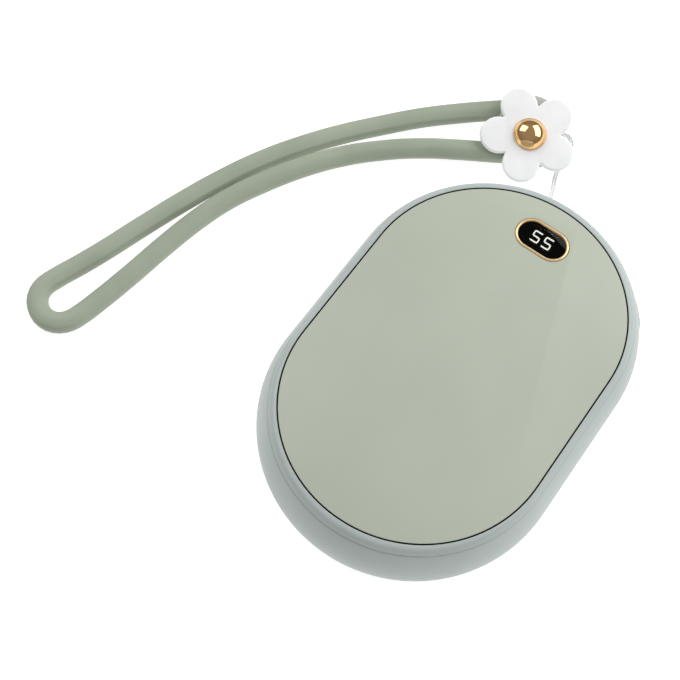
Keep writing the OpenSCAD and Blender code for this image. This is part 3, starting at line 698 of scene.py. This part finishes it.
# Middle frame
# The bulged ring between the two covers, moulded in the same plastic. It carries the charging port's
# opening, the power button's window, and a pocket with an upright bar for the lanyard.
port_low, port_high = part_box("port_shell")
port_centre = ((port_low.x + port_high.x) / 2 / MM, (port_low.z + port_high.z) / 2 / MM)
port_size = ((port_high.x - port_low.x) / MM, (port_high.z - port_low.z) / MM)
port_gap = 0.25
port_flare = 1.1
# Places along Y of the opening's inner end, the start of its flare, and its outer end
port_cut = (42, 48.55, 50)
eye_size = (5.6, 3.2)
eye_floor = 29.4
eye_wall = 1.4
eye_fillet = 0.2
eye_flare = 0.8
eye_flare_depth = 0.45
bar_d = 2
bar_sink = 0.5
button_turn = math.radians(39)
button_size = (8, 5.4)
button_gap = 0.25
flange_rho = 30.66
around_button = Matrix.Translation((0, end_round_y, mid_z)) @ Matrix.Rotation(button_turn, 4, "Z")
around_eye = Matrix.Translation((0, end_round_y, mid_z)) @ Matrix.Rotation(math.pi / 2 + eye_turn, 4, "Z")
around_port = Matrix.Translation((port_centre[0], 0, port_centre[1])) @ Matrix.Rotation(math.pi / 2, 4, "Z")
bulge_levels = 22


def boxed(w, h):
    """Corners of a rectangle."""
    return [(-w / 2, -h / 2), (w / 2, -h / 2), (w / 2, h / 2), (-w / 2, h / 2)]


def grown_by(size, gap):
    """Width and height with the gap added on every side."""
    return size[0] + 2 * gap, size[1] + 2 * gap


frame_low, frame_high = band, body_t - band
bulge = [frame_low + (frame_high - frame_low) * k / bulge_levels for k in range(1, bulge_levels)]
frame_profile = [((side_r(frame_low), frame_low), part_edge)]
frame_profile += [((side_r(z), z), 0) for z in bulge]
frame_profile += [((side_r(frame_high), frame_high), part_edge),
                  ((side_r(frame_high, wall_t), frame_high), lip_edge_r)]
frame_profile += [((side_r(z, wall_t), z), 0) for z in reversed(bulge)]
frame_profile += [((side_r(frame_low, wall_t), frame_low), lip_edge_r)]
middle_frame = skin("bulged_middle_frame", [
    stadium(r, z, end_round_y) for r, z in soften(frame_profile)], loop=True)
carve(middle_frame, [prism("eye block", [(rho, boxed(*grown_by(eye_size, eye_wall))) for rho in (
    eye_floor - eye_wall, body_r - wall_t / 2)], around_eye)], "UNION")
carve(middle_frame, [
    prism("eye pocket", [(rho, obround(*grown_by(eye_size, grow))) for rho, grow in (
        (eye_floor, -eye_fillet), (eye_floor + eye_fillet, 0), (body_r - eye_flare_depth, 0),
        (body_r + overrun, eye_flare))], around_eye),
    prism("port opening", [(y, obround(*grown_by(port_size, grow))) for y, grow in zip(
        port_cut, (port_gap, port_gap, port_gap + port_flare))], around_port),
    prism("button window", [(rho, obround(*grown_by(button_size, button_gap))) for rho in (
        flange_rho, body_r + overrun)], around_button)])
bar_reach = eye_size[1] / 2 + bar_sink
carve(middle_frame, [pillar(bar_d / 2, mid_z - bar_reach, mid_z + bar_reach,
                            (around_eye @ Vector((bar_rho, 0, 0)))[:2])], "UNION")
dressed(middle_frame, moulded_sage, replacing=["middle_frame"])

# Front cover
# Moulded like the rear cover, in the same plastic, with a window in its floor for the display. The case
# screws are driven from the rear into blind holes in its posts.
window_size = (7.6, 5.2)
display_y = 35.4
# Heights between which a cutter through the front floor runs
front_cutter_ends = (13, 22)
front_cover = cover_shell("moulded_front_cover", lambda depth: body_t - depth)
carve(front_cover, screw_posts(post_split + split_gap, body_t - floor_out - post_root, post_r), "UNION")
carve(front_cover, screw_posts(post_split - overrun, pilot_top, pilot_d / 2))
carve(front_cover, [
    shaft("front lead slot", [(z, obround(*slot_size)) for z in front_cutter_ends],
          (-slot_place[0], slot_place[1])),
    shaft("display window", [(z, boxed(*window_size)) for z in front_cutter_ends], (0, display_y))])
dressed(front_cover, moulded_sage, replacing=["front_cover"])

# Heated plates
# Two flat sheets of aluminium, painted matte sage green, dropped into the covers' recesses.
# The front one has an oblong hole for the display's ring.
plate_edge = 0.06
bezel_low, bezel_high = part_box("display_bezel")
display_size = ((bezel_high.x - bezel_low.x) / MM, (bezel_high.y - bezel_low.y) / MM)
hole_play = 0.1
hole_flare = 0.2
hole_flare_depth = 0.1
fine_round = 160
plate_low, plate_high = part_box("front_plate")
plate_r = plate_high.x / MM
plate_end_y = plate_high.y / MM - plate_r


def plate_blank(name, low, high):
    """A heated plate with its edges eased, before any hole is cut."""
    levels = rounding(low, high, plate_edge, plate_edge, steps=3)
    return skin(name, [stadium(plate_r - inset, z, plate_end_y) for inset, z in levels])


sage_paint = Finish("matte sage paint on aluminium", Roughness=0.5, Specular_IOR_Level=0.5)
paint_clouds = sage_paint.grain(26)
paint_speckle = sage_paint.grain(0.16)
sage_paint.feed(
    Base_Color=sage_paint.between(tint("AFB6A6"), tint("B4BBAB"), sage_paint.mottle(paint_clouds)),
    Roughness=sage_paint.mottle(paint_speckle, 0.46, 0.56))
sage_paint.relief(paint_speckle, 0.005)
front_plate = plate_blank("painted_front_plate", plate_low.z / MM, plate_high.z / MM)
carve(front_plate, [shaft("display hole", [
    (z, obround(*grown_by(display_size, grow), fine_round)) for z, grow in (
        (body_t - plate_depth - overrun, hole_play), (body_t - hole_flare_depth, hole_play),
        (body_t + hole_flare_depth, hole_play + hole_flare))], (0, display_y))])
dressed(front_plate, sage_paint, replacing=["front_plate"])
rear_plate = plate_blank("painted_rear_plate", 0, plate_depth)
dressed(rear_plate, sage_paint, replacing=["rear_plate"])

# Gap shade strips
# A black strip that nearly fills the gap round each plate and stands almost flush with its top. It is painted
# shade, a dark sheet put in so that the gap reads as the deep shadow of an open gap.
shade_strip_rise = 0.95
shade_strip_play = 0.03
# Near-black colour: painted shade standing in for the shadow down in each plate's gap.
gap_shade_black = Finish("black painted gap shade", Roughness=0.7, Specular_IOR_Level=0.15)
shade_strip_lumps = gap_shade_black.grain(0.8)
gap_shade_black.feed(Base_Color=gap_shade_black.between(tint("060606"), tint("0E0E0E"), shade_strip_lumps))
gap_shade_black.relief(shade_strip_lumps, 0.03)
for name, low, high in (("front_sealing_bead", body_t - plate_depth, body_t - plate_depth + shade_strip_rise),
                        ("rear_sealing_bead", plate_depth - shade_strip_rise, plate_depth)):
    inner, outer = plate_r + shade_strip_play, recess_r - shade_strip_play
    corners = ((inner, low), (outer, low), (outer, high), (inner, high))
    shade_strip = skin(name, [stadium(r, z, plate_end_y) for r, z in corners], loop=True)
    dressed(shade_strip, gap_shade_black)

# Display
# A gold-plated ring with a crowned edge holds a smoked lens. Under it, the light module shows the level
# in two white figures whose strokes join at cut corners.
ring_w = 0.65
ring_ledge = 0.5
ring_crown = 0.22
# Shares of the ring's width between which its top is flat
crown_shares = (0.3, 0.72)
inner_fall = 1.5 * ring_crown
crown_round = 0.14
ledge_round = 0.05
lens_round = 0.12
lens_round_below = 0.04
lens_low, lens_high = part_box("display_lens")
lens_size = ((lens_high.x - lens_low.x) / MM, (lens_high.y - lens_low.y) / MM)
digit_low, digit_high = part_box("display_digits")
digit_pitch = 2.95
digit_x = -0.12
digit_y = display_y + 0.3
digit_size = (2.1, 3)
stroke_w = 0.3
stroke_slant = 0.25 * stroke_w
mitre_limit = 0.5
digit_cut = 0.34
glow_strength = 42.0


def level_obround(inset, z, size=display_size):
    """Level ring of the display's outline, drawn in by the inset."""
    return [(x, display_y + y, z) for x, y in obround(*grown_by(size, -inset), fine_round)]


ring_low, ring_high = bezel_low.z / MM, bezel_high.z / MM
ledge_top = lens_low.z / MM
ring_inner = ring_w + ring_ledge
ring_profile = soften([
    ((0, ring_low), ledge_round), ((0, ring_high - ring_crown), 2 * ledge_round),
    ((ring_w * crown_shares[0], ring_high), crown_round),
    ((ring_w * crown_shares[1], ring_high), crown_round),
    ((ring_w, ring_high - inner_fall), 2 * ledge_round), ((ring_w, ledge_top), 0.6 * ledge_round),
    ((ring_inner, ledge_top), ledge_round), ((ring_inner, ring_low), ledge_round)], steps=4)
satin_gold = Finish("satin gold plating", Metallic=0.4, Roughness=0.28, Coat_Weight=0.3, Coat_Roughness=0.1)
ring_haze = satin_gold.grain(1.2)
satin_gold.feed(Base_Color=satin_gold.between(tint("F6CE92"), tint("FBDDAC"), ring_haze),
                Roughness=satin_gold.mottle(ring_haze, 0.2, 0.28))
display_ring = skin("gold_display_ring", [level_obround(*mark) for mark in ring_profile], loop=True)
dressed(display_ring, satin_gold, replacing=["display_bezel"])

smoked_lens = Finish("smoked glossy lens", Roughness=0.02, Transmission_Weight=1, IOR=1.2)
lens_sheen = smoked_lens.grain(3)
smoked_lens.feed(Base_Color=smoked_lens.between(tint("262625"), tint("2C2C2A"), lens_sheen),
                 Roughness=smoked_lens.mottle(lens_sheen, 0.015, 0.03))
lens = skin("smoked_display_lens", [level_obround(inset, z, lens_size) for inset, z in rounding(
    lens_low.z / MM, lens_high.z / MM, lens_round_below, lens_round, steps=4)])
dressed(lens, smoked_lens, replacing=["display_lens"])

white_glow = Finish("white lit figures", Roughness=0.5, Emission_Strength=glow_strength)
glow_spread = white_glow.grain(0.8)
white_glow.feed(Base_Color=white_glow.between(tint("E8EAEA"), tint("F6F6F6"), glow_spread),
                Emission_Color=white_glow.between(tint("F6F6F2"), tint("FFFFFC"), glow_spread))


def figure_five(name, x):
    """A figure five as one stroke of even width, with its corners cut and its free ends slanted."""
    w, h = (side - stroke_w for side in digit_size)
    line = soften([((w / 2, h / 2), 0), ((-w / 2, h / 2), digit_cut), ((-w / 2, 0), digit_cut),
                   ((w / 2, 0), digit_cut), ((w / 2, -h / 2), digit_cut), ((-w / 2, -h / 2), 0)],
                  closed=False, steps=2)
    left, right = [], []
    for k, point in enumerate(line):
        before = (point - line[k - 1]).normalized() if k else (line[1] - point).normalized()
        after = (line[k + 1] - point).normalized() if k < len(line) - 1 else before
        mitre = Vector((-before.y - after.y, before.x + after.x)).normalized()
        reach = stroke_w / 2 / max(mitre.dot(Vector((-before.y, before.x))), mitre_limit)
        slant = before * stroke_slant * (1 if k == 0 else -1 if k == len(line) - 1 else 0)
        left.append(point + mitre * reach + slant)
        right.append(point - mitre * reach - slant)
    outline = left + right[::-1]
    return skin(name, [[(x + px, digit_y + py, z / MM) for px, py in outline]
                       for z in (digit_low.z, digit_high.z)])


for name, way in (("lit_figure_tens", -1), ("lit_figure_ones", 1)):
    figure = figure_five(name, digit_x + way * digit_pitch / 2)
    dressed(figure, white_glow, replacing=["display_digits"])

# Power button
# An oblong key in the side wall, moulded like the housing and crowned to follow its bulge. A flange keeps
# it in the window, and the pin on its back presses the switch.
button_proud = 0.4
button_edge = 0.35
flange_rim = 1.1
flange_t = 1
flange_edge = 0.1
pusher_d = 3
pusher_l = 0.8
pusher_edge = 0.15
edge_steps = 6
crown_steps = 12
key_points = 96


def button_outline(rho, size, inset=0, proud=None):
    """Outline of the button at a depth from the end round's centre, or on the bulge grown by proud."""
    points = []
    for across_way, up in obround(*grown_by(size, -inset), key_points):
        depth = rho
        if proud is not None:
            surface = body_r - bulge_r + math.sqrt((bulge_r + proud) ** 2 - up ** 2)
            depth = math.sqrt(surface ** 2 - across_way ** 2)
        points.append(around_button @ Vector((depth, across_way, up)))
    return points


flange_size = grown_by(button_size, flange_rim)
flange_back = flange_rho - flange_t
pusher_end = flange_back - pusher_l
button_rings = [button_outline(rho, (pusher_d, pusher_d), inset) for rho, inset in (
    (pusher_end, pusher_edge), (pusher_end + pusher_edge, 0), (flange_back, 0))]
button_rings += [button_outline(rho, flange_size, inset) for rho, inset in (
    (flange_back, flange_edge), (flange_back + flange_edge, 0), (flange_rho - flange_edge, 0),
    (flange_rho, flange_edge))]
button_rings += [button_outline(flange_rho, button_size)]
for step in range(edge_steps + 1):
    turn = math.pi / 2 * step / edge_steps
    button_rings.append(button_outline(0, button_size, button_edge * (1 - math.cos(turn)),
                                       button_proud - button_edge * (1 - math.sin(turn))))
for step in range(1, crown_steps):
    inset = button_edge + (button_size[1] / 2 - button_edge) * step / crown_steps
    button_rings.append(button_outline(0, button_size, inset, button_proud))
button = skin("moulded_power_button", button_rings)
dressed(button, moulded_sage, body="power_button", replacing=["power_button"])

# Parts inside the housing
# Heating films under the plates with foam behind them, the battery tray with its pouch cell and guard
# board, and the main board with its parts, the port, the switch and the light module.
black_plastic = Finish("black moulded plastic", Roughness=0.5)
black_texture = black_plastic.grain(0.25)
black_plastic.feed(Base_Color=black_plastic.between(tint("1E2022"), tint("2B2D30"), black_texture),
                   Roughness=black_plastic.mottle(black_texture, 0.42, 0.6))
black_plastic.relief(black_texture, 0.006)

amber_film = Finish("amber heating film", Roughness=0.25, Coat_Weight=0.4)
heater_track = amber_film.node("ShaderNodeTexWave", {"bands_direction": "Y"}, Vector=amber_film.place,
                               Scale=320, Distortion=1.5, Detail=1)
amber_film.feed(Base_Color=amber_film.between(tint("B9782A"), tint("6E4A2A"),
                                              amber_film.spread(heater_track, 0.55, 0.65)))

grey_foam = Finish("grey cell foam", Roughness=0.95, Specular_IOR_Level=0.2)
foam_cells = grey_foam.node("ShaderNodeTexVoronoi", Vector=grey_foam.place, Scale=2200)
grey_foam.feed(Base_Color=grey_foam.between(tint("5A5E62"), tint("787C80"), foam_cells))
grey_foam.relief(foam_cells, 0.08)

foil_pouch = Finish("aluminium foil pouch", Metallic=0.8, Roughness=0.35)
foil_creases = foil_pouch.grain(4, detail=4)
foil_pouch.feed(Base_Color=foil_pouch.between(tint("8F99A3"), tint("B8C0C8"), foil_creases),
                Roughness=foil_pouch.mottle(foil_creases, 0.28, 0.5))
foil_pouch.relief(foil_creases, 0.08)

green_board = Finish("green circuit board", Roughness=0.35, Coat_Weight=0.5)
board_tracks = green_board.node("ShaderNodeTexVoronoi", {"distance": "CHEBYCHEV", "feature": "F1"},
                                Vector=green_board.place, Scale=420)
green_board.feed(Base_Color=green_board.between(tint("1F5C38"), tint("2F7A4A"),
                                                green_board.spread(board_tracks, 0.25, 0.4)))

red_wire = Finish("red silicone wire", Roughness=0.45)
red_fade = red_wire.grain(2)
red_wire.feed(Base_Color=red_wire.between(tint("B3211C"), tint("CC3129"), red_fade))

cream_nylon = Finish("cream nylon", Roughness=0.4)
nylon_fade = cream_nylon.grain(1.2)
cream_nylon.feed(Base_Color=cream_nylon.between(tint("E3DECF"), tint("F0ECE0"), nylon_fade))

tan_ceramic = Finish("tan ceramic", Roughness=0.5)
ceramic_speckle = tan_ceramic.grain(0.3)
tan_ceramic.feed(Base_Color=tan_ceramic.between(tint("A0855A"), tint("BFA376"), ceramic_speckle))

for finish, kept in (
        (amber_film, ["front_heating_film", "rear_heating_film"]),
        (grey_foam, ["front_foam_sheet", "rear_foam_sheet", "battery_foam_pads"]),
        (black_plastic, ["front_thermistor", "rear_thermistor", "battery_tray", "battery_lead_black",
                         "board_chips", "board_inductor", "led_module", "port_tongue", "switch_body"]),
        (red_wire, ["front_heater_leads", "rear_heater_leads", "battery_lead_red"]),
        (foil_pouch, ["battery_cell"]),
        (green_board, ["battery_guard_board", "main_board"]),
        (cream_nylon, ["battery_connector", "switch_plunger"]),
        (tan_ceramic, ["board_capacitors"]),
        (brushed_steel, ["port_shell", "case_screws", "board_screws"])):
    for node in kept:
        nodes[node].data.materials.clear()
        nodes[node].data.materials.append(finish.material)

# Floor and lights
# A pale floor, a broad soft light from the far right, a softer one from the left, and a surround that is
# bright along the horizon, like the white sweep of a photo table, and dim above it.
floor_size = 6
floor_drop = 0.05
pale_floor = Finish("pale floor", Roughness=0.9, Specular_IOR_Level=0.1, Emission_Strength=0.85)
floor_fade = pale_floor.grain(400)
pale_floor.feed(Base_Color=pale_floor.between(tint("A8A8A8"), tint("ACACAC"), floor_fade),
                Emission_Color=pale_floor.between(tint("FBFBFB"), tint("FFFFFF"), floor_fade))
floor = bpy.data.objects.new("floor", bpy.data.meshes.new("floor"))
half = floor_size / 2
floor.data.from_pydata([(-half, -half, -floor_drop * MM), (half, -half, -floor_drop * MM),
                        (half, half, -floor_drop * MM), (-half, half, -floor_drop * MM)], [], [(0, 1, 2, 3)])
floor.data.materials.append(pale_floor.material)
bpy.context.collection.objects.link(floor)


def softbox(name, place, aim, size, power):
    """A rectangular area light at a place in metres that looks at a point."""
    light = bpy.data.lights.new(name, "AREA")
    light.shape, light.size, light.size_y, light.energy = "RECTANGLE", size[0], size[1], power
    box = bpy.data.objects.new(name, light)
    box.location = place
    box.rotation_euler = (Vector(aim) - Vector(place)).to_track_quat("-Z", "Y").to_euler()
    bpy.context.collection.objects.link(box)


middle = (-0.02, 0, 0)
softbox("far softbox", place=(0.42, 0.6, 0.64), aim=middle, size=(1.15, 0.65), power=7.9)
softbox("left softbox", place=(-0.7, 0.1, 0.65), aim=middle, size=(0.6, 0.7), power=3.7)

surround = bpy.data.worlds.new("pale surround")
surround.use_nodes = True
sky = Tree(surround.node_tree)
direction = sky.node("ShaderNodeTexCoord")
height = sky.node("ShaderNodeSeparateXYZ", out="Z", Vector=direction)
horizon = sky.node("ShaderNodeMapRange", Value=height, From_Min=0.04, From_Max=0.14, To_Min=0.65, To_Max=0)
overhead = sky.node("ShaderNodeMapRange", Value=height, From_Min=0.1, From_Max=0.7, To_Min=0.2, To_Max=0.36)
sky.join(surround.node_tree.nodes["Background"].inputs["Strength"], horizon + overhead)
surround.node_tree.nodes["Background"].inputs["Color"].default_value = (1, 1, 1, 1)
bpy.context.scene.world = surround
bpy.context.scene.view_settings.view_transform = "Standard"
